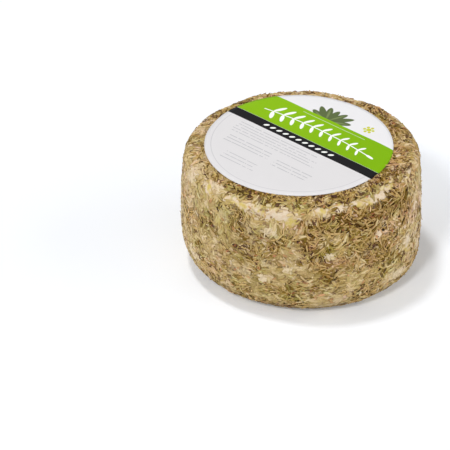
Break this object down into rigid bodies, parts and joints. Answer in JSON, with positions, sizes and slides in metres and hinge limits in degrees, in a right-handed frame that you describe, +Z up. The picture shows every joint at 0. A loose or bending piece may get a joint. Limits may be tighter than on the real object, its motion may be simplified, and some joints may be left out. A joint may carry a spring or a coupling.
{
  "type": "aged goat cheese",
  "caption": "Whole round wheel of aged goat cheese coated in dried herb needles, with a round printed paper label lying on top.",
  "frame": {"origin": "middle of the wheel's footprint, at the level of the flat base face it rests on", "axes": "+Z up through the wheel, from the base to the labelled top; -Y towards the front, where most of the coat is worn off the shoulder; +X to the right seen from the front"},
  "size_m": [0.1306, 0.1294, 0.0703],
  "materials": {
    "herb_rind": "matte",
    "label_paper": "satin"
  },
  "bodies": {
    "root": {"cheese_wheel": "herb_rind", "paper_label": "label_paper"}
  },
  "joints": []
}
